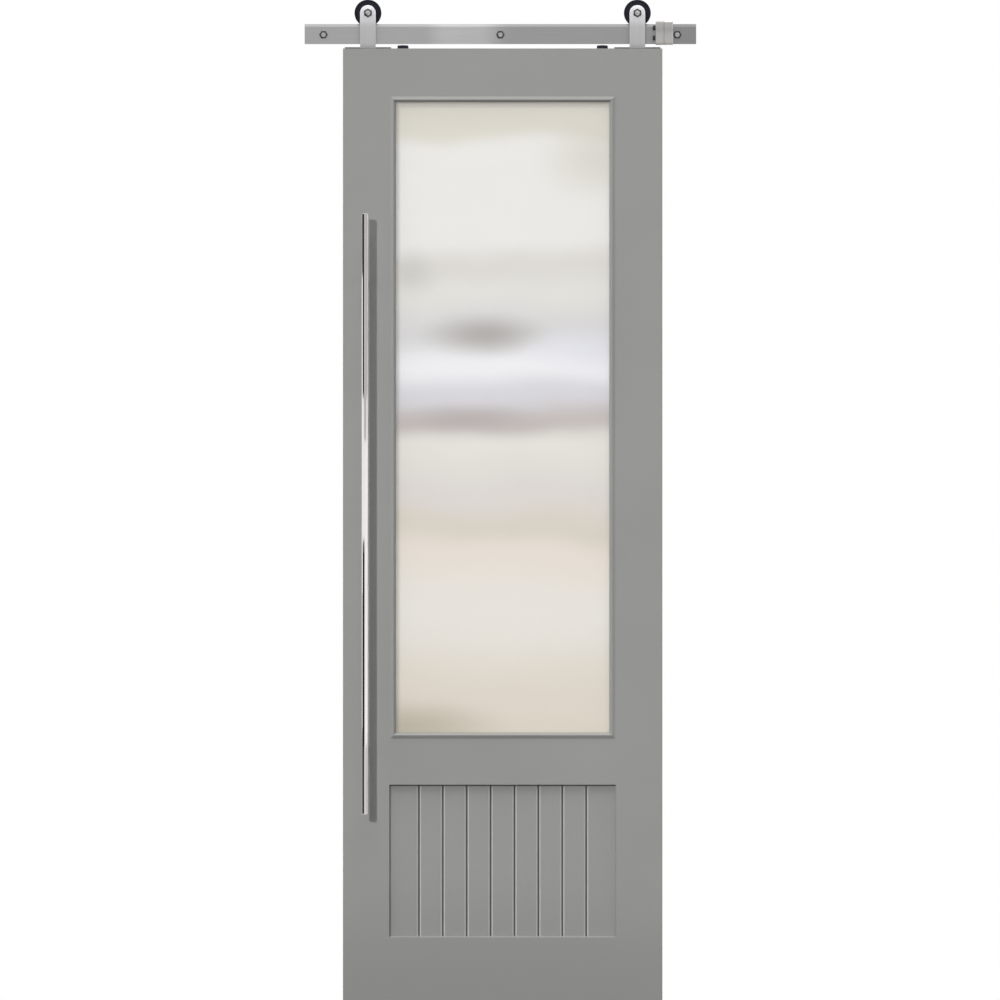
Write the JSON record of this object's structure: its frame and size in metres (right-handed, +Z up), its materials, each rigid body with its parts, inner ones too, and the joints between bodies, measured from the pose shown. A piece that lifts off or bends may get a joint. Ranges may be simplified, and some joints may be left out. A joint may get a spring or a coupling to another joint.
{
  "type": "sliding barn door",
  "caption": "Grey sliding barn door with a frosted glass light over a V-grooved panel, a long bar pull, and grooved wheels on a flat wall rail.",
  "frame": {"origin": "centre of the middle standoff's wall face, on the wall plane", "axes": "+X to the right as the front is seen, +Y into the wall, +Z up"},
  "size_m": [0.872, 0.1081, 2.2425],
  "materials": {
    "grey_paint": "satin paint",
    "satin_glass": "frosted",
    "brushed_steel": "brushed",
    "bolt_steel": "machined",
    "polished_steel": "polished",
    "black_nylon": "satin",
    "black_rubber": "matt"
  },
  "bodies": {
    "track": {"track_rail": "brushed_steel", "left_standoff": "brushed_steel", "middle_standoff": "brushed_steel", "right_standoff": "brushed_steel", "left_wall_bolt": "bolt_steel", "middle_wall_bolt": "bolt_steel", "right_wall_bolt": "bolt_steel", "stop_clamp": "brushed_steel", "stop_head": "brushed_steel", "stop_bumpers": "black_rubber"},
    "door": {"left_stile": "grey_paint", "right_stile": "grey_paint", "top_rail": "grey_paint", "lock_rail": "grey_paint", "bottom_rail": "grey_paint", "grooved_panel": "grey_paint", "front_bead_top": "grey_paint", "front_bead_bottom": "grey_paint", "front_bead_left": "grey_paint", "front_bead_right": "grey_paint", "back_bead_top": "grey_paint", "back_bead_bottom": "grey_paint", "back_bead_left": "grey_paint", "back_bead_right": "grey_paint", "glass_pane": "satin_glass", "left_hanger": "brushed_steel", "right_hanger": "brushed_steel", "left_axle_bolt": "bolt_steel", "right_axle_bolt": "bolt_steel", "left_axle_nut": "bolt_steel", "right_axle_nut": "bolt_steel", "left_axle_bush": "bolt_steel", "right_axle_bush": "bolt_steel", "upper_pull_bolt": "bolt_steel", "lower_pull_bolt": "bolt_steel", "pull_bar": "polished_steel", "upper_pull_post": "polished_steel", "lower_pull_post": "polished_steel", "left_anti_jump_disc": "black_nylon", "right_anti_jump_disc": "black_nylon"},
    "left_roller": {"left_wheel": "black_nylon", "left_wheel_bearing": "bolt_steel"},
    "right_roller": {"right_wheel": "black_nylon", "right_wheel_bearing": "bolt_steel"}
  },
  "joints": [
    {"name": "door_slide", "type": "slide", "parent": "track", "child": "door", "axis": [1, 0, 0], "range_m": [-0.11, 0.012]},
    {"name": "left_wheel_spin", "type": "hinge", "parent": "door", "child": "left_roller", "pos_m": [-0.295, -0.036, 0.04815], "axis": [0, 1, 0], "range_deg": [-263, 29]},
    {"name": "right_wheel_spin", "type": "hinge", "parent": "door", "child": "right_roller", "pos_m": [0.305, -0.036, 0.04815], "axis": [0, 1, 0], "range_deg": [-263, 29]}
  ],
  "couplings": [
    {"joint": "left_wheel_spin", "follows": "door_slide", "rad_per_m": 41.667},
    {"joint": "right_wheel_spin", "follows": "door_slide", "rad_per_m": 41.667}
  ]
}
